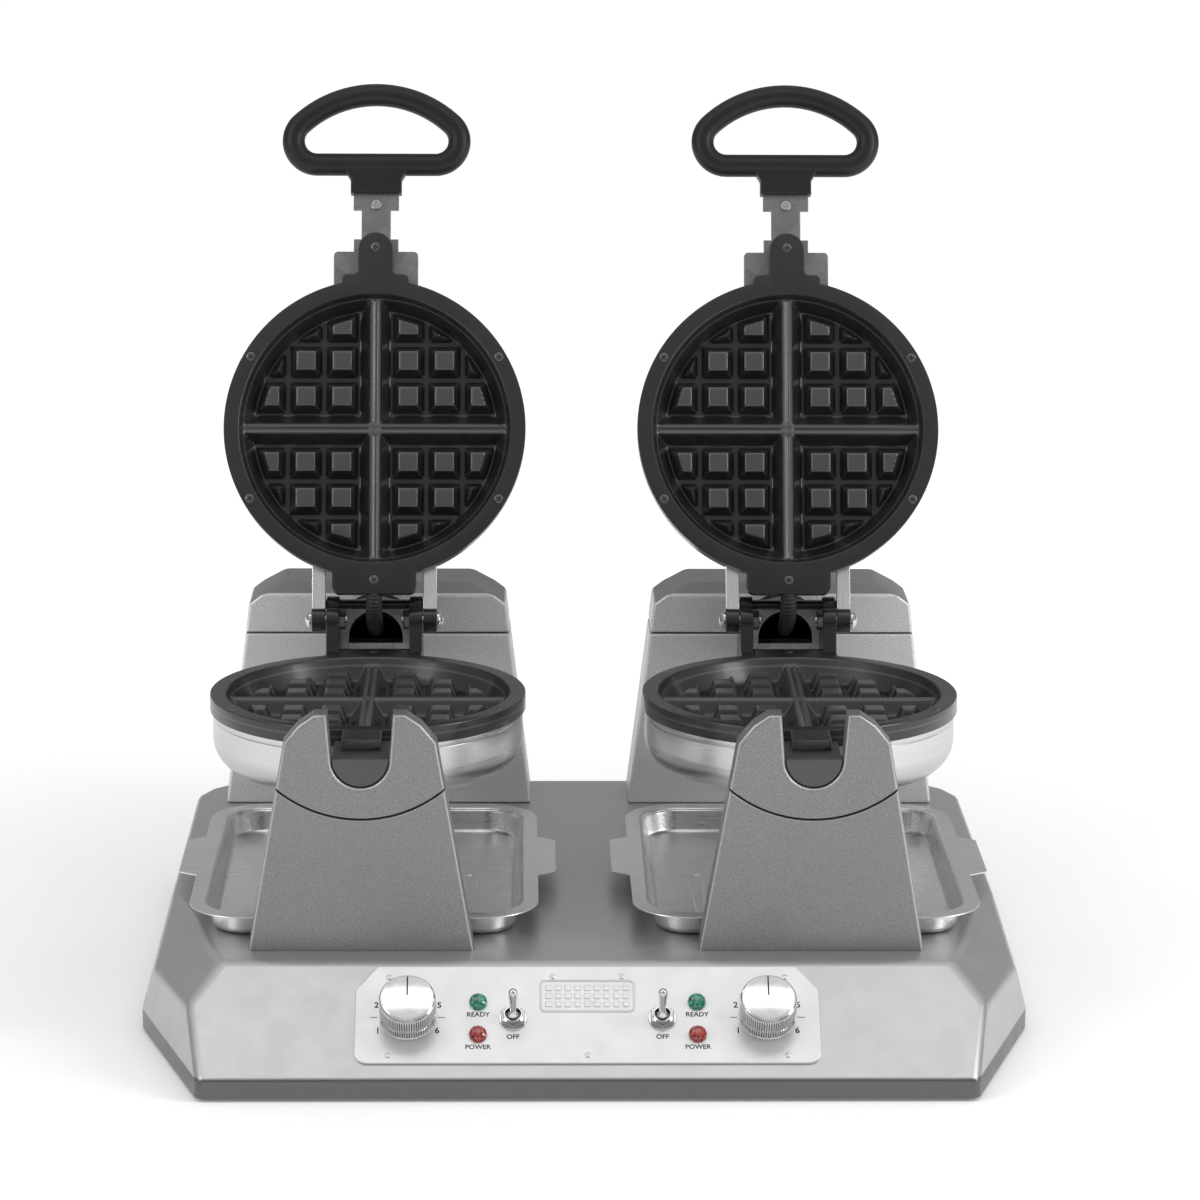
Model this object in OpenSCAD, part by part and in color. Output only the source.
// Double side-by-side rotary waffle maker for the counter top.
// Frame: X to the right, Y towards the back, Z up, millimetres.
// The origin is at the middle of the footprint, on the surface that the feet stand on.
// Each waffle unit is drawn with its lid closed; lid_pose() opens the lid about its hinge.

/* [Housing] */
// Width of the housing at its lower edge
base_w = 550; // [540:2:570]
// Depth of the housing at its lower edge
base_d = 498; // [494:2:510]
// Height of the housing's top surface above the counter
base_h = 66; // [62:1:70]
// Height of the upright skirt round the lower edge
skirt_h = 12; // [8:1:14]
// Wall thickness of the housing
wall = 3; // [2:0.5:4]

/* [Waffle units] */
// Distance between the middles of the two units
unit_pitch = 274; // [270:1:280]
// Outer radius of the waffle plates' rims
ring_r = 100; // [99:0.5:100]
// Radius of the waffle cavity at its mouth
cavity_r = 90; // [86:0.5:91]
// Depth of the waffle cavity
cavity_depth = 15; // [12:0.5:16]
// Pitch of the pegs in the waffle grid
peg_pitch = 24; // [23:0.5:25]
// How far the open lid leans back from upright
lid_lean = 19.5; // [15:0.5:22]

/* [Handles] */
// Width across the handle loop
loop_w = 126; // [120:1:130]
// Thickness of the handle's round bar
loop_bar = 15; // [13:0.5:16]

/* [Controls] */
// Radius of the thermostat knobs
knob_r = 17.2; // [15:0.1:18]
// Height of the thermostat knobs
knob_h = 20; // [16:0.5:22]
// Length of the toggle levers above their pivots
lever_len = 21; // [18:0.5:23]

/* [Hidden] */

$fn = 96;
eps = 0.02;
big = 400;

// colours
paint = [0.62, 0.62, 0.63];
cast_paint = [0.55, 0.55, 0.56];
panel_grey = [0.83, 0.83, 0.84];
steel = [0.78, 0.78, 0.79];
zinc = [0.68, 0.69, 0.70];
iron = [0.10, 0.10, 0.105];
plastic = [0.07, 0.07, 0.075];
chrome = [0.86, 0.86, 0.88];
rubber = [0.05, 0.05, 0.05];
ivory = [0.8, 0.78, 0.7];
bronze = [0.72, 0.55, 0.3];
trunnion_grey = [0.2, 0.2, 0.2];
green = [0.05, 0.55, 0.38];
red = [0.8, 0.1, 0.08];

// housing outline
foot_h = 2;
skirt_top = foot_h + skirt_h;
half_w = base_w / 2;
half_d = base_d / 2;
side_lean = 15;                 // lean of the side and rear walls from upright
corner_front_x = half_w - 43;   // front edge's ends
panel_edge_y = -half_d + 66;    // front edge of the top surface
slope = atan((base_h - skirt_top) / (panel_edge_y + half_d));
chamfer_dir = 72.2;             // direction that the front corners face, from the front round to the side
chamfer_lean = 9.8;
shoulder_dir = 74.7;            // the same for the small facets above them
shoulder_lean = 51.6;
shoulder_x = 221;               // where the small facets meet the front edge of the top
corner_r = 50;                  // rear corners, at the top surface
corner_steps = 3;               // facets in each rear corner between the side and the back
side_in = (base_h - skirt_top) * tan(side_lean);    // how far the leaning walls come in at the top
pan_t = 1.5;                    // closing plate under the housing
feet = [205, 190];
wire_hole_r = 14;

// unit positions
plate_y = -16;                  // middle of the waffle plates
part_z = 193;                   // top face of the lower plates
close_gap = 0.6;                // gap between the plates with the lid closed
axis_z = 186;                   // axis that the unit turns on
hinge_back = 126.4;             // hinge behind the middle of the plates
hinge_z = 209.5;
rim_h = 11;
floor_r = cavity_r - 9;         // cavity's radius at its floor
floor_t = 4;
divider_drop = 5;               // divider and peg tops below the rim
peg_foot = 21;                  // width of a peg at its foot and at its top
peg_top = 12;
peg_edge = floor_r - 0.6;       // pegs near the wall are cut off by a cone that starts here
divider_foot = 20;
divider_top = 5;
peg_centres = [for (i = [0 : 2]) 22 + i * peg_pitch];
seat_circle = (ring_r + cavity_r) / 2;
ring_screws = [for (a = [30, 150, 210, 330]) seat_circle * [cos(a), sin(a)]];
screw_r = 3;
screw_seat = 2;
shell_r = ring_r - 1.7;         // pressed pan behind each plate
shell_depth = 37;
shell_bend = 20;
shell_t = 1.5;
heater_r = 60;
heater_bar = 4;

// lid hinge
arm_x0 = 23.2;                  // yoke arms
arm_x1 = 31.8;
knuckle_x0 = 32.4;              // lid knuckles and arms
knuckle_x1 = 41.2;
knuckle_r = 8.25;
bolt_r = 4;
run_gap = 0.05;                 // radial clearance of the turning fits
arm_back = 4;                   // rear face of the lid's arms from the hinge axis
stop_r = 3;                     // bar across the yoke that the open lid rests on
stop_reach = 11;                // where the bar meets the arms, along the lid
stop_off = arm_back + stop_r + 0.1;
stop_y = hinge_back + stop_off * cos(lid_lean) + stop_reach * sin(lid_lean);
stop_z = hinge_z - stop_off * sin(lid_lean) + stop_reach * cos(lid_lean);
stop_boss_r = 5.5;
yoke_y = 152;                   // yoke's cross plate
yoke_t = 8;
yoke_z0 = 160;
yoke_top = 216;
arch_r = 18;                    // arched opening in the cross plate
arch_z0 = 188;
arch_z = 192;
head_r = 6;                     // hinge bolts' heads
nut_r = 6.6;
nut_t = 4;

// towers
tower_front_y = -145.5;         // all tower distances are from the middle of the plates
tower_t = 15.5;
tower_back_y = tower_front_y + tower_t;
tower_half = 68.8;
ear_top = 214;
ear = [[46.2, 196.6], [37, 207.7], [27.6, ear_top]];
slot_r = 17.6;
slot_top_half = 20;
seam_r = 78.6;                  // curved joint between the tower and its saddle
seam_z = 227;
seam_gap = 0.4;
rear_y = 189.6;
rear_t = 50;
rear_half = 104;
rear_seam_z = 185.5;
rear_top = 220;
rear_shoulder = [[87, 206], [79, 212], [64, rear_top]];
rear_bevel_z = 212;
rear_bevel_lean = 35;
rear_wall = 7;
spindle_r = 22;
spindle_bore = 18;
spindle_y = 172;
bush_r = 27;
bush_len = 30;
bush_end = rear_y + bush_len;
hub_r = 29;

// controls, measured on the sloping face: across, and down from its upper edge
panel_w = 278;
panel_top = 4.5;
panel_h = 69;
panel_t = 1.5;
panel_r = 8;
panel_cut = [13, 17];           // cut-off upper corners
knob_x = 107.5;
knob_down = 40.5;
lamp_x = 65.5;
green_down = 30.5;
red_down = 53.5;
lamp_r = 5.6;
lamp_hole = 4.2;
lamp_rim = 1.2;
toggle_x = 44.6;
toggle_down = 42;
toggle_tilt = 13;
lever_pivot = 5;
lever_tip = 2.7;
bushing_r = 6;
stem_r = 5.5;                   // thermostat's stem in the panel
shaft_r = 3;
rivet_r = 1.9;
rivets = [[-119, 12.5], [119, 12.5], [-119, 68], [119, 68], [-20.7, 12], [20.7, 12], [0, 68]];

// drip trays
tray_half_x = 108;
tray_front = -128.5;
tray_back = 131.5;
tray_rise = 16;                 // rim above the housing's top
tray_r = 36;
tray_rim = 10;
tray_draft = 9;
tray_t = 1;
tray_in = tray_rim + tray_draft / 2;
tray_ear = [119.5, -29, 44];    // side ears: reach, front and back
tray_ear_slant = 7;

// cable inlet, square to the leaning rear wall; its depths are measured from the wall's outside
gland_x = 60;
gland_z = 36;
gland_y = half_d - (gland_z - skirt_top) * tan(side_lean);
gland_r = 9;
gland_nut_r = 11;
gland_bore = 4.5;
gland_in = 14;
gland_out = 2.5;

// lid parts, all with the lid closed
lid_face = part_z + close_gap;
tab_half = 11.5;
tab_end = -131.6;
block_half = 27.8;              // block between the plate and the hinge
block_end = 110.7;
lid_screw_points = concat(ring_screws, [[0, -121.5], [0, 101.5]]);
bracket_t = 3;
bracket_z = lid_face + rim_h;
bracket_end = -168;
neck_half = 9.8;
bar_y_low = -179.9;             // straight bar of the handle
bar_y_high = -227.5;            // top of the arched bar
bend_r = 16;                    // bend at the ends of the straight bar
handle_z = bracket_z + bracket_t / 2;
bend_x = (loop_w - loop_bar) / 2 - bend_r;
arch_rise = bar_y_low - bar_y_high - bend_r;
handle_arch_r = (bend_x * bend_x + arch_rise * arch_rise - bend_r * bend_r) / (2 * (arch_rise - bend_r));
handle_meet = atan2(handle_arch_r - arch_rise, bend_x);
seam_bead = 0.15;               // moulding seams of the loop stand this proud
seam_w = 1.2;
grip_t = 12;

// flexible sleeve over the lid's wires, as points in the YZ plane
sleeve_r = 5.4;
sleeve_bulge = 0.6;
block_drop = hinge_z - lid_face - rim_h / 2;
function from_block(gap) = [hinge_back - block_drop * cos(lid_lean) + gap * sin(lid_lean),
                            hinge_z + block_drop * sin(lid_lean) + gap * cos(lid_lean)];
block_gap = hinge_back - block_end;
sleeve_points = [
    from_block(block_gap), from_block(block_gap - sleeve_r - sleeve_bulge - 0.2), [128, 208], [156, 197]
];

// ---------- helpers ----------

module at_unit(side) {
    translate([side * unit_pitch / 2, plate_y, 0]) children();
}

module lid_pose() {
    translate([0, hinge_back, hinge_z]) rotate([-(90 + lid_lean), 0, 0])
        translate([0, -hinge_back, -hinge_z]) children();
}

module on_panel(x, down) {
    translate([0, panel_edge_y, base_h]) rotate([slope, 0, 0]) translate([x, -down, 0]) children();
}

module at_gland() {
    translate([gland_x, gland_y, gland_z]) rotate([side_lean, 0, 0]) children();
}

// cylinder along +X from x0 to x1
module bar_x(r, x0, x1) {
    translate([x0, 0, 0]) rotate([0, 90, 0]) cylinder(r = r, h = x1 - x0);
}

// cylinder along +Y from y0 to y1
module bar_y(r, y0, y1) {
    translate([0, y0, 0]) rotate([-90, 0, 0]) cylinder(r = r, h = y1 - y0);
}

// flat shape in the YZ plane, thickened from x0 to x1
module plate_yz(x0, x1) {
    translate([x0, 0, 0]) rotate([90, 0, 90]) linear_extrude(x1 - x0) children();
}

// flat shape in the XZ plane, thickened from y0 to y1
module plate_xz(y0, y1) {
    translate([0, y1, 0]) rotate([90, 0, 0]) linear_extrude(y1 - y0) children();
}

// the same points on the other side, in the order that closes an outline
function mirrored(points) = [for (i = [len(points) - 1 : -1 : 0]) [-points[i][0], points[i][1]]];

module rounded_rect(x0, x1, y0, y1, r) {
    difference() {
        translate([x0, y0]) square([x1 - x0, y1 - y0]);
        for (x = [x0, x1], y = [y0, y1])
            translate([x == x0 ? x0 : x1 - r, y == y0 ? y0 : y1 - r]) difference() {
                square(r);
                translate([x == x0 ? r : 0, y == y0 ? r : 0]) circle(r);
            }
    }
}

// ---------- housing ----------

// rear corner's edge points, going from the side round to the back
function rear_corner(r) = [
    for (i = [0 : corner_steps])
        let (step = 90 / (corner_steps + 1), a = (i + 0.5) * step)
            [half_w - side_in - corner_r, half_d - side_in - corner_r]
                + r / cos(step / 2) * [cos(a), sin(a)]
];

module footprint() {
    right = concat(
        [[corner_front_x, -half_d], [half_w, -half_d + (half_w - corner_front_x) * tan(chamfer_dir)]],
        rear_corner(corner_r + side_in)
    );
    polygon(concat(right, mirrored(right)));
}

module inset_footprint(inset) {
    scale([1 - inset / half_w, 1 - inset / half_d]) footprint();
}

// takes away everything outside a plane that faces dir (0 = front, 90 = side) and leans back by lean
module shave(p, dir, lean) {
    translate(p) rotate([0, 0, dir]) rotate([-lean, 0, 0])
        translate([-big, -2 * big, -big]) cube([2 * big, 2 * big, 2 * big]);
}

// the housing's outside, with every face moved inwards by inset
module housing_block(inset, floor_z) {
    difference() {
        translate([0, 0, floor_z]) linear_extrude(base_h - inset - floor_z) inset_footprint(inset);
        intersection() {
            translate([-big, -big, skirt_top]) cube([2 * big, 2 * big, 2 * big]);
            union() {
                shave([0, -half_d + inset / sin(slope), skirt_top], 0, 90 - slope);
                shave([0, half_d - inset, skirt_top], 180, side_lean);
                for (s = [-1, 1]) {
                    shave([s * (half_w - inset), 0, skirt_top], s * 90, side_lean);
                    shave([s * (corner_front_x - inset), -half_d, skirt_top], s * chamfer_dir, chamfer_lean);
                    shave([s * (shoulder_x - 1.3 * inset), panel_edge_y, base_h],
                          s * shoulder_dir, shoulder_lean);
                    for (i = [1 : corner_steps])
                        let (a = i * 90 / (corner_steps + 1))
                            shave([s * (half_w - side_in - corner_r + (corner_r - inset) * cos(a)),
                                   half_d - side_in - corner_r + (corner_r - inset) * sin(a), base_h],
                                  s * (90 + a), side_lean);
                }
            }
        }
    }
}

// holes through the sloping face for everything on the panel
module panel_holes() {
    reach = 12;
    for (s = [-1, 1]) {
        on_panel(s * knob_x, knob_down) translate([0, 0, -reach]) cylinder(r = stem_r + 0.5, h = 2 * reach);
        on_panel(s * toggle_x, toggle_down)
            translate([0, 0, -reach]) cylinder(r = bushing_r + 0.2, h = 2 * reach);
        for (down = [green_down, red_down])
            on_panel(s * lamp_x, down) translate([0, 0, -reach]) cylinder(r = lamp_hole, h = 2 * reach);
    }
}

module base_housing() color(paint) difference() {
    housing_block(0, foot_h);
    housing_block(wall, foot_h - 1);
    panel_holes();
    // wire way under each rear tower
    for (side = [-1, 1]) at_unit(side)
        translate([0, rear_y + rear_t / 2, 0]) cylinder(r = wire_hole_r, h = base_h + 1);
    at_gland() bar_y(gland_r, -gland_in, gland_in);
}

module base_pan() color(zinc) translate([0, 0, foot_h]) linear_extrude(pan_t) inset_footprint(wall + 0.5);

module rubber_feet() color(rubber)
    for (x = [-1, 1], y = [-1, 1])
        translate([x * feet[0], y * feet[1], 0]) cylinder(r1 = 11, r2 = 12, h = foot_h);

// inlet for the mains cord: body, inner nut and outer collar
module cable_gland() color(plastic) at_gland() difference() {
    union() {
        bar_y(gland_r, -gland_in, gland_out);
        bar_y(gland_nut_r, -wall - 4.5, -wall - 0.5);
        bar_y(gland_nut_r, 0, gland_out);
    }
    bar_y(gland_bore, -gland_in - 1, gland_out + 1);
}

module terminal_block() color(ivory) translate([0, 196, foot_h + pan_t]) difference() {
    cube([44, 20, 16]);
    for (i = [0 : 3]) translate([6 + i * 10.6, 10, 6]) cylinder(r = 2.6, h = 12);
}

// ---------- control panel ----------

module control_panel() color(panel_grey) difference() {
    on_panel(0, 0) linear_extrude(panel_t) difference() {
        rounded_rect(-panel_w / 2, panel_w / 2, -panel_top - panel_h, -panel_top, panel_r);
        for (s = [-1, 1]) polygon([
            [s * (panel_w / 2 + 1), -panel_top - panel_cut[1]], [s * (panel_w / 2), -panel_top - panel_cut[1]],
            [s * (panel_w / 2 - panel_cut[0]), -panel_top], [s * (panel_w / 2 - panel_cut[0]), -panel_top + 1],
            [s * (panel_w / 2 + 1), -panel_top + 1]
        ]);
    }
    panel_holes();
}

module panel_rivets() color(panel_grey)
    for (p = rivets) on_panel(p[0], p[1]) translate([0, 0, panel_t]) intersection() {
        cylinder(r = rivet_r, h = 1);
        translate([0, 0, -2]) sphere(r = 2.8);
    }

module lamps(down) {
    for (s = [-1, 1]) on_panel(s * lamp_x, down) {
        translate([0, 0, -10]) cylinder(r = lamp_hole - 0.2, h = 10 + panel_t);
        translate([0, 0, panel_t]) cylinder(r = lamp_r, h = lamp_rim);
        translate([0, 0, panel_t + lamp_rim]) intersection() {
            cylinder(r = lamp_r, h = 4);
            translate([0, 0, -3.2]) sphere(r = 6.45);
        }
    }
}

module green_lenses() color(green) lamps(green_down);

module red_lenses() color(red) lamps(red_down);

module toggle_bodies() color(chrome)
    for (s = [-1, 1]) on_panel(s * toggle_x, toggle_down) difference() {
        union() {
            // switch body behind the face, bushing, washer and nut
            translate([-6.5, -10, -23]) cube([13, 20, 17]);
            translate([0, 0, -7]) cylinder(r = bushing_r, h = 7 + lever_pivot + 2);
            translate([0, 0, panel_t]) cylinder(r = 8.4, h = 0.8);
            translate([0, 0, panel_t + 0.8]) rotate([0, 0, 30]) cylinder(r = 8.1, h = 2.6, $fn = 6);
        }
        cylinder(r = 4.2, h = lever_pivot);
        translate([0, 0, lever_pivot - eps]) cylinder(r1 = 4.2, r2 = 5.2, h = 3);
    }

module toggle_lever(s) color(chrome)
    on_panel(s * toggle_x, toggle_down) translate([0, 0, lever_pivot]) {
        sphere(r = 3.6);
        bar_x(1, -4, 4);
        rotate([-toggle_tilt, 0, 0]) {
            cylinder(r1 = 2, r2 = lever_tip, h = lever_len - lever_tip);
            translate([0, 0, lever_len - lever_tip]) sphere(r = lever_tip);
        }
    }

module thermostats() color(zinc)
    for (s = [-1, 1]) on_panel(s * knob_x, knob_down) {
        translate([0, 0, -24]) cylinder(r = 15, h = 16);
        translate([0, 0, -9]) cylinder(r = stem_r, h = 9 + panel_t);
        cylinder(r = shaft_r, h = panel_t + 12);
    }

module knob(s) color(chrome)
    on_panel(s * knob_x, knob_down) translate([0, 0, panel_t + 0.5]) difference() {
        // skirt, groove, grip, bevel and raised cap
        rotate_extrude() polygon([
            [0, 0], [knob_r, 0], [knob_r, 6.5], [knob_r - 0.5, 6.5], [knob_r - 0.5, 7.3], [knob_r, 7.3],
            [knob_r, knob_h - 2], [knob_r - 1.3, knob_h - 0.5], [knob_r - 1.6, knob_h - 0.5],
            [knob_r - 1.6, knob_h], [0, knob_h]
        ]);
        translate([0, 0, -1]) cylinder(r = shaft_r + 0.2, h = 13);
        // pointer line
        translate([-0.5, 2, knob_h - 0.4]) cube([1, knob_r - 4.5, 1]);
    }

// ---------- towers ----------

module tower_outline() {
    polygon(concat([[-tower_half, base_h], [tower_half, base_h]], ear, mirrored(ear)));
}

module slot_outline() {
    translate([0, axis_z]) circle(slot_r);
    polygon([[-slot_r, axis_z], [slot_r, axis_z], [slot_top_half, ear_top + 1], [-slot_top_half, ear_top + 1]]);
}

module tower_body() {
    plate_xz(tower_front_y, tower_back_y) difference() {
        tower_outline();
        slot_outline();
    }
}

module seam_drum(r) {
    translate([0, 0, seam_z]) bar_y(r, tower_front_y - 1, tower_back_y + 1);
}

module front_tower(side) color(cast_paint) at_unit(side) difference() {
    tower_body();
    seam_drum(seam_r);
}

module front_saddle(side) color(cast_paint) at_unit(side) intersection() {
    tower_body();
    seam_drum(seam_r - seam_gap);
}

// whole rear tower, with its bevelled top front edge, before it is split at the seam
module rear_block() {
    difference() {
        plate_xz(rear_y, rear_y + rear_t) polygon(concat(
            [[-rear_half, base_h], [rear_half, base_h]], rear_shoulder, mirrored(rear_shoulder)
        ));
        translate([0, rear_y, rear_bevel_z]) rotate([rear_bevel_lean, 0, 0])
            translate([-big, -big, 0]) cube([2 * big, 2 * big, big]);
        // bearing seat and the space behind it
        translate([0, 0, axis_z]) bar_y(bush_r, rear_y - 1, bush_end);
        translate([0, 0, axis_z]) bar_y(hub_r, bush_end, rear_y + rear_t - rear_wall);
    }
}

module rear_tower(side) color(cast_paint) at_unit(side) difference() {
    rear_block();
    translate([-big, -big, rear_seam_z]) cube([2 * big, 3 * big, big]);
    // hollow foot for the wiring, and the way up to the spindle
    translate([-80, rear_y + rear_wall, base_h - 1]) cube([160, rear_t - 2 * rear_wall, 86]);
    translate([-12, bush_end + 2, base_h + 60]) cube([24, rear_t - bush_len - rear_wall - 4, 60]);
}

module rear_cap(side) color(cast_paint) at_unit(side) intersection() {
    rear_block();
    translate([-big, -big, rear_seam_z + seam_gap]) cube([2 * big, 3 * big, big]);
}

module rear_bearings() color(bronze)
    for (side = [-1, 1]) at_unit(side) translate([0, 0, axis_z]) difference() {
        bar_y(bush_r, rear_y + 0.5, bush_end);
        bar_y(spindle_r + run_gap, rear_y, bush_end + 1);
    }

// ---------- waffle plates: face at z = 0, cavity below, hinge side at +Y ----------

// ridges that run along Y, one at each peg centre on both sides of the divider
module ridges() {
    for (s = [-1, 1], c = peg_centres)
        translate([s * c, 0, 0]) plate_xz(-cavity_r, cavity_r) polygon([
            [-peg_foot / 2, -cavity_depth - 1], [peg_foot / 2, -cavity_depth - 1],
            [peg_top / 2, -divider_drop], [-peg_top / 2, -divider_drop]
        ]);
}

module divider() {
    plate_xz(-cavity_r, cavity_r) polygon([
        [-divider_foot / 2, -cavity_depth - 1], [divider_foot / 2, -cavity_depth - 1],
        [divider_top / 2, -divider_drop], [-divider_top / 2, -divider_drop]
    ]);
}

module waffle_relief() {
    intersection() {
        ridges();
        rotate([0, 0, 90]) ridges();
        translate([0, 0, -cavity_depth - 1])
            cylinder(r1 = peg_edge, r2 = peg_edge - (cavity_depth + 1) / 2, h = cavity_depth + 1);
    }
    intersection() {
        union() {
            divider();
            rotate([0, 0, 90]) divider();
        }
        translate([0, 0, -cavity_depth - 1])
            cylinder(r1 = floor_r, r2 = cavity_r + 0.2, h = cavity_depth + 1);
    }
}

module dish() {
    rotate_extrude() polygon([
        [0, -cavity_depth], [floor_r, -cavity_depth], [cavity_r, 0], [ring_r, 0], [ring_r, -rim_h],
        [cavity_r + 2, -rim_h], [floor_r + 3, -cavity_depth - floor_t], [0, -cavity_depth - floor_t]
    ]);
}

module screw_seats(points) {
    for (p = points) translate([p[0], p[1], -screw_seat]) cylinder(r = screw_r + 0.2, h = screw_seat + 1);
}

// cross-slotted screw heads
module screws(points) {
    slot = [0.8, 3.6, 1];
    for (p = points) translate([p[0], p[1], 0]) difference() {
        translate([0, 0, -screw_seat]) cylinder(r = screw_r, h = screw_seat - 0.2);
        for (a = [0, 90]) rotate([0, 0, a]) translate([-slot[0] / 2, -slot[1] / 2, -0.9]) cube(slot);
    }
}

// ---------- rotor: lower plate and everything that turns with it ----------

rear_bar_screw = [[0, 106]];

module lower_plate(side) color(iron) at_unit(side) translate([0, 0, part_z]) difference() {
    union() {
        dish();
        waffle_relief();
        // rear bar between the yoke's arms
        translate([-arm_x0 + 0.1, ring_r - 4, -rim_h]) cube([2 * arm_x0 - 0.2, 16, rim_h]);
        // front lug above the trunnion
        translate([-12, -ring_r - 24, axis_z - part_z]) cube([24, 30, part_z - axis_z]);
    }
    screw_seats(concat(ring_screws, rear_bar_screw));
}

// half section of a round pan: rim at y = 0, bottom at y = depth
module pan_section(r, depth, bend) {
    square([r, depth - bend]);
    square([r - bend, depth]);
    intersection() {
        translate([r - bend, depth - bend]) circle(bend);
        translate([0, depth - bend]) square([r, bend]);
    }
}

module pan() {
    rotate_extrude() difference() {
        pan_section(shell_r, shell_depth, shell_bend);
        translate([0, -1]) pan_section(shell_r - shell_t, shell_depth - shell_t + 1, shell_bend - shell_t);
    }
}

module lower_shell(side) color(steel) at_unit(side)
    translate([0, 0, part_z - rim_h]) rotate([180, 0, 0]) pan();

// heating element with its two terminals
module heater() {
    gap = 14;
    difference() {
        rotate_extrude() translate([heater_r, 0]) circle(heater_bar);
        translate([-gap / 2, heater_r - 15, -5]) cube([gap, 30, 10]);
    }
    for (x = [-1, 1] * (gap / 2 + 2)) translate([x, heater_r - 0.5, 0]) cylinder(r = 3, h = 12);
}

module lower_heater(side) color(zinc) at_unit(side)
    translate([0, 0, part_z - cavity_depth - floor_t - heater_bar - 0.2]) rotate([180, 0, 0]) heater();

module front_trunnion(side) color(trunnion_grey) at_unit(side) difference() {
    intersection() {
        translate([0, 0, axis_z]) bar_y(slot_r - 0.5, tower_front_y + 1, -ring_r + 4);
        translate([-big, -big, 0]) cube([2 * big, 2 * big, axis_z]);
    }
    cylinder(r = ring_r, h = part_z);
}

module yoke_arm_outline() {
    polygon([
        [94, yoke_z0 + 12], [94, part_z - 1.5], [113, part_z - 1.5], [118.2, 208], [hinge_back, hinge_z],
        [stop_y - stop_boss_r, stop_z], [stop_y, stop_z + stop_boss_r], [yoke_y, yoke_top],
        [yoke_y, yoke_z0], [112, yoke_z0]
    ]);
    translate([hinge_back, hinge_z]) circle(knuckle_r);
    translate([stop_y, stop_z]) circle(stop_boss_r);
}

module arch_outline() {
    translate([-arch_r, arch_z0]) square([2 * arch_r, arch_z - arch_z0]);
    intersection() {
        translate([0, arch_z]) circle(arch_r);
        translate([-arch_r, arch_z0]) square(2 * arch_r);
    }
}

module rotor_yoke(side) color(iron) at_unit(side) difference() {
    union() {
        for (s = [-1, 1]) plate_yz(s > 0 ? arm_x0 : -arm_x1, s > 0 ? arm_x1 : -arm_x0) yoke_arm_outline();
        translate([-arm_x1, yoke_y, yoke_z0]) cube([2 * arm_x1, yoke_t, yoke_top - yoke_z0]);
        translate([0, 0, axis_z]) bar_y(hub_r, yoke_y + yoke_t, spindle_y);
        translate([0, stop_y, stop_z]) bar_x(stop_r, -knuckle_x1, knuckle_x1);
    }
    cylinder(r = ring_r + 0.05, h = part_z + 10);
    translate([0, hinge_back, hinge_z]) bar_x(bolt_r, -2 * arm_x1, 2 * arm_x1);
    plate_xz(yoke_y - 1, yoke_y + yoke_t + 1) arch_outline();
    translate([0, 0, axis_z]) bar_y(spindle_bore, yoke_y - 1, spindle_y + 1);
}

// plate with the arched opening, in front of the cross plate
module hood_plate(side) color(zinc) at_unit(side) plate_xz(yoke_y - 1.6, yoke_y) difference() {
    translate([-arm_x0 + 0.1, arch_z0 - 4]) square([2 * arm_x0 - 0.2, yoke_top - arch_z0 + 4]);
    arch_outline();
}

module rear_spindle(side) color(steel) at_unit(side) translate([0, 0, axis_z]) difference() {
    union() {
        // flange, journal and the ring that keeps it in the bush
        bar_y(hub_r - 1, spindle_y, spindle_y + 5);
        bar_y(spindle_r, spindle_y, bush_end + 8);
        bar_y(bush_r - 1, bush_end + 0.4, bush_end + 4);
    }
    bar_y(spindle_bore, spindle_y - 1, rear_y + rear_t);
}

// round-headed bolt along +X with its nut on the inner end
module hinge_bolt() {
    head_x = knuckle_x1 + 0.3;
    rotate([0, 90, 0]) rotate_extrude() {
        translate([0, arm_x0 - nut_t - 1]) square([bolt_r, head_x + 2 - arm_x0 + nut_t]);
        intersection() {
            translate([0, head_x - 3]) circle(7.5);
            translate([0, head_x]) square([head_r, head_r]);
        }
    }
    translate([arm_x0 - nut_t, 0, 0]) rotate([0, 90, 0]) cylinder(r = nut_r, h = nut_t, $fn = 6);
}

module rotor_fasteners(side) color(steel) at_unit(side) {
    translate([0, hinge_back, hinge_z]) {
        hinge_bolt();
        mirror([1, 0, 0]) hinge_bolt();
    }
    translate([0, 0, part_z]) screws(concat(ring_screws, rear_bar_screw));
}

// ---------- lid, drawn closed ----------

// places something drawn on a plate's own axes as the upper plate
module face_down() {
    translate([0, 0, lid_face]) rotate([0, 180, 0]) children();
}

module upper_plate(side) color(iron) at_unit(side) lid_pose() face_down() difference() {
    union() {
        dish();
        waffle_relief();
        // rear block, towards the hinge
        translate([0, 0, -rim_h]) linear_extrude(rim_h) difference() {
            rounded_rect(-block_half, block_half, 60, block_end, 5);
            circle(ring_r - 4);
        }
        // front tab with its shoulders
        translate([0, 0, -rim_h]) linear_extrude(rim_h) difference() {
            union() {
                translate([-22, -ring_r - 3.3]) square([44, 30]);
                translate([-tab_half, tab_end + tab_half]) square([2 * tab_half, 40]);
                translate([0, tab_end + tab_half]) circle(tab_half);
            }
            circle(ring_r - 4);
        }
    }
    screw_seats(lid_screw_points);
}

module upper_shell(side) color(steel) at_unit(side) lid_pose()
    translate([0, 0, lid_face + rim_h]) pan();

module upper_heater(side) color(zinc) at_unit(side) lid_pose()
    translate([0, 0, lid_face + cavity_depth + floor_t + heater_bar + 0.2]) heater();

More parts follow.
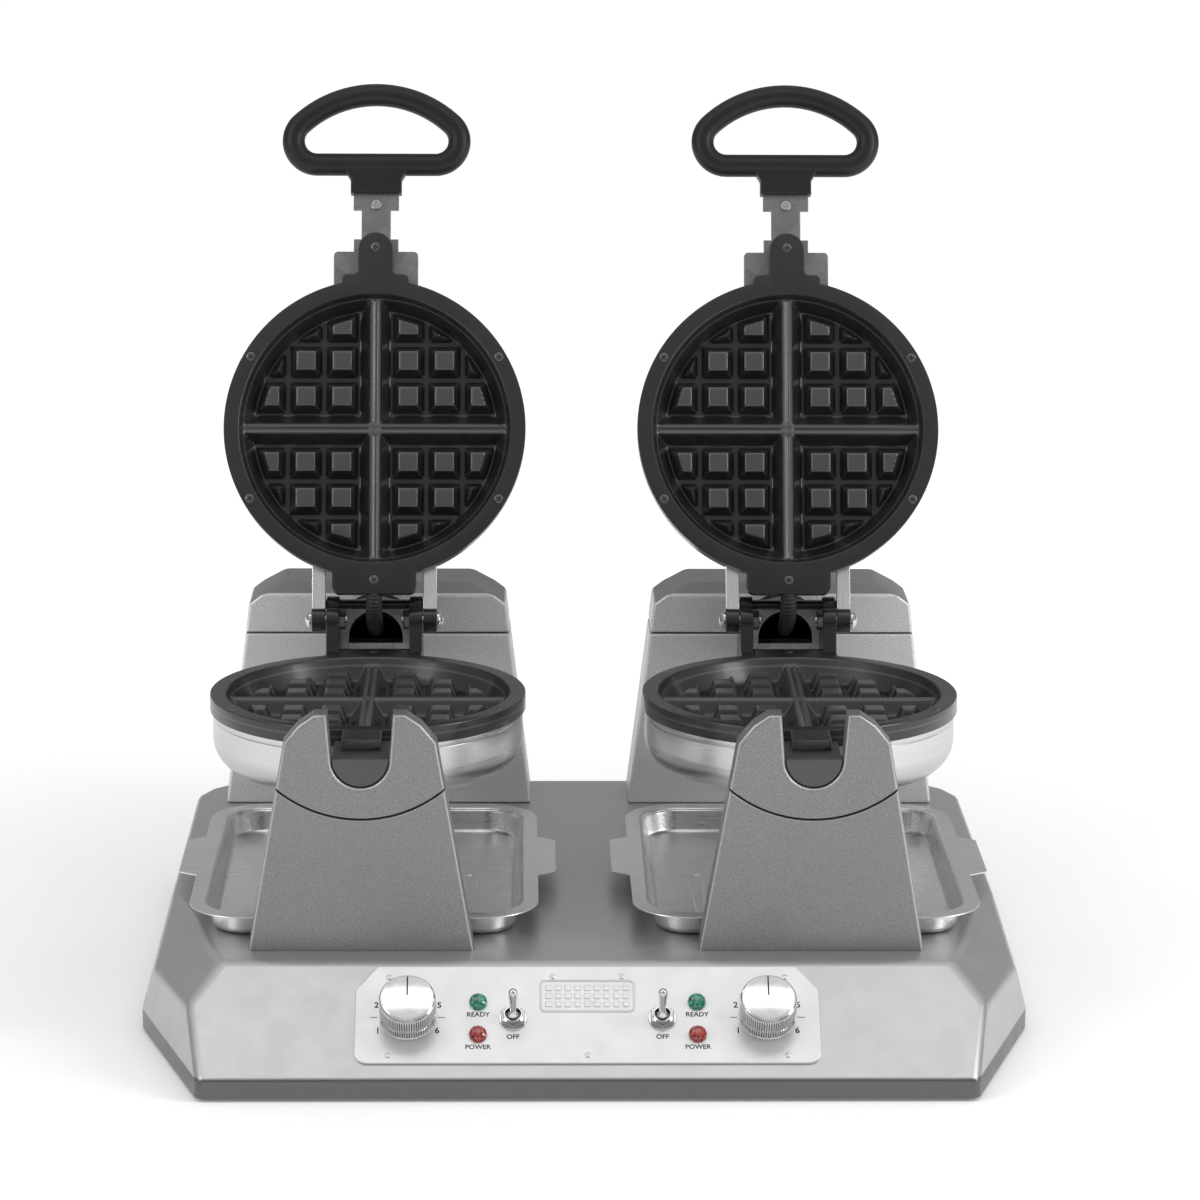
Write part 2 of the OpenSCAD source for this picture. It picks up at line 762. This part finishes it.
module lid_arms(side) color(steel) at_unit(side) lid_pose() difference() {
    front = 80;
    bottom = bracket_z + 0.1;
    for (s = [-1, 1])
        translate([s > 0 ? knuckle_x0 : -knuckle_x1, front, bottom])
            cube([knuckle_x1 - knuckle_x0, hinge_back - front, hinge_z + arm_back - bottom]);
    cylinder(r = shell_r, h = big);
    translate([0, hinge_back, hinge_z]) bar_x(knuckle_r, -2 * arm_x1, 2 * arm_x1);
}

module lid_knuckles(side) color(plastic) at_unit(side) lid_pose() translate([0, hinge_back, hinge_z])
    for (s = [-1, 1]) difference() {
        bar_x(knuckle_r, s > 0 ? knuckle_x0 : -knuckle_x1, s > 0 ? knuckle_x1 : -knuckle_x0);
        bar_x(bolt_r + run_gap, -2 * arm_x1, 2 * arm_x1);
    }

// stepped bracket from the lid's rim to the handle; its neck passes through the front tower's slot
module lid_bracket(side) color(zinc) at_unit(side) lid_pose() translate([0, 0, bracket_z])
    linear_extrude(bracket_t) difference() {
        union() {
            rounded_rect(-28.2, 28.2, -120.6, -80, 3);
            translate([-14.9, -129]) square([29.8, 20]);
            translate([-neck_half, -150]) square([2 * neck_half, 30]);
            translate([-15.2, bracket_end]) square([30.4, 19.4]);
        }
        circle(shell_r);
    }

// thin bead round the handle's bar at a moulding seam; the bar runs along dir there
module seam_ring(p, dir) {
    translate([p[0], p[1], 0]) rotate([0, 0, dir])
        bar_x(loop_bar / 2 + seam_bead, -seam_w / 2, seam_w / 2);
}

// straight bar, two end bends and the arch that meets both bends smoothly
module handle_loop() {
    arch_mid = [0, bar_y_high + handle_arch_r];
    translate([0, bar_y_low, 0]) bar_x(loop_bar / 2, -bend_x, bend_x);
    for (s = [-1, 1]) {
        translate([s * bend_x, bar_y_low - bend_r, 0])
            rotate([0, 0, s > 0 ? -handle_meet : 90])
                rotate_extrude(angle = 90 + handle_meet) translate([bend_r, 0]) circle(loop_bar / 2);
        seam_ring([s * bend_x, bar_y_low], 0);
        seam_ring(arch_mid + handle_arch_r * [s * cos(handle_meet), -sin(handle_meet)], s * (90 - handle_meet));
    }
    translate([arch_mid[0], arch_mid[1], 0]) rotate([0, 0, 180 + handle_meet])
        rotate_extrude(angle = 180 - 2 * handle_meet) translate([handle_arch_r, 0]) circle(loop_bar / 2);
}

module lid_handle(side) color(plastic) at_unit(side) lid_pose() translate([0, 0, handle_z]) difference() {
    union() {
        handle_loop();
        // grip block that takes the bracket's end
        translate([0, 0, -grip_t / 2]) linear_extrude(grip_t) polygon([
            [-17, -159.6], [17, -159.6], [17, -169], [20, -174], [26, -180], [-26, -180],
            [-20, -174], [-17, -169]
        ]);
    }
    translate([-15.3, bracket_end - 0.1, -bracket_t / 2]) cube([30.6, 12, bracket_t]);
}

module lid_screws(side) color(steel) at_unit(side) lid_pose() {
    face_down() screws(lid_screw_points);
    // socket screw in the bracket's neck
    translate([0, -152.5, bracket_z - 1.6]) difference() {
        cylinder(r = 3.6, h = 1.6);
        translate([0, 0, -0.5]) cylinder(r = 1.6, h = 1.3);
    }
}

// round rod between two points in the YZ plane
module rod_yz(r, a, b) {
    d = b - a;
    translate([0, a[0], a[1]]) rotate([atan2(d[1], d[0]) - 90, 0, 0]) cylinder(r = r, h = norm(d));
}

// flexible sleeve over the lid's wires, from the rear block down into the yoke's arch
module cable_sleeve(side) color(rubber) at_unit(side) {
    for (i = [0 : 2]) rod_yz(sleeve_r, sleeve_points[i], sleeve_points[i + 1]);
    for (p = [sleeve_points[1], sleeve_points[2]])
        translate([0, p[0], p[1]]) sphere(r = sleeve_r + sleeve_bulge);
}

// ---------- drip trays ----------

// block with the tray's outline, moved in by inset
module tray_block(inset, z0, z1) {
    translate([0, 0, z0]) linear_extrude(z1 - z0)
        rounded_rect(-tray_half_x + inset, tray_half_x - inset,
                     tray_front + inset, tray_back - inset, tray_r - inset);
}

module drip_tray(side) color(steel) at_unit(side) {
    z0 = base_h + 0.3;
    z1 = base_h + tray_rise;
    difference() {
        union() {
            tray_block(0, z1 - tray_t, z1);
            tray_block(tray_in - tray_t, z0, z1 - eps);
            // carrying ears at the sides
            translate([0, 0, z1 - tray_t]) linear_extrude(tray_t) for (s = [-1, 1]) polygon([
                [s * (tray_half_x - 2), tray_ear[1] - tray_ear_slant], [s * tray_ear[0], tray_ear[1]],
                [s * tray_ear[0], tray_ear[2]], [s * (tray_half_x - 2), tray_ear[2] + tray_ear_slant]
            ]);
        }
        tray_block(tray_in, z0 + tray_t, z1 + 1);
    }
}

// ---------- the nodes ----------

base_housing();
base_pan();
rubber_feet();
control_panel();
panel_rivets();
green_lenses();
red_lenses();
toggle_bodies();
thermostats();
terminal_block();
cable_gland();
rear_bearings();
front_tower(-1);  // front_tower_left
front_tower(1);  // front_tower_right
front_saddle(-1);  // front_saddle_left
front_saddle(1);  // front_saddle_right
rear_tower(-1);  // rear_tower_left
rear_tower(1);  // rear_tower_right
rear_cap(-1);  // rear_cap_left
rear_cap(1);  // rear_cap_right
lower_plate(-1);  // lower_plate_left
lower_plate(1);  // lower_plate_right
lower_shell(-1);  // lower_shell_left
lower_shell(1);  // lower_shell_right
lower_heater(-1);  // lower_heater_left
lower_heater(1);  // lower_heater_right
front_trunnion(-1);  // front_trunnion_left
front_trunnion(1);  // front_trunnion_right
rotor_yoke(-1);  // rotor_yoke_left
rotor_yoke(1);  // rotor_yoke_right
hood_plate(-1);  // hood_plate_left
hood_plate(1);  // hood_plate_right
rear_spindle(-1);  // rear_spindle_left
rear_spindle(1);  // rear_spindle_right
rotor_fasteners(-1);  // rotor_fasteners_left
rotor_fasteners(1);  // rotor_fasteners_right
upper_plate(-1);  // upper_plate_left
upper_plate(1);  // upper_plate_right
upper_shell(-1);  // upper_shell_left
upper_shell(1);  // upper_shell_right
upper_heater(-1);  // upper_heater_left
upper_heater(1);  // upper_heater_right
lid_arms(-1);  // lid_arms_left
lid_arms(1);  // lid_arms_right
lid_knuckles(-1);  // lid_knuckles_left
lid_knuckles(1);  // lid_knuckles_right
lid_bracket(-1);  // lid_bracket_left
lid_bracket(1);  // lid_bracket_right
lid_handle(-1);  // lid_handle_left
lid_handle(1);  // lid_handle_right
lid_screws(-1);  // lid_screws_left
lid_screws(1);  // lid_screws_right
cable_sleeve(-1);  // cable_sleeve_left
cable_sleeve(1);  // cable_sleeve_right
drip_tray(-1);  // drip_tray_left
drip_tray(1);  // drip_tray_right
knob(-1);  // knob_left
knob(1);  // knob_right
toggle_lever(-1);  // toggle_lever_left
toggle_lever(1);  // toggle_lever_right
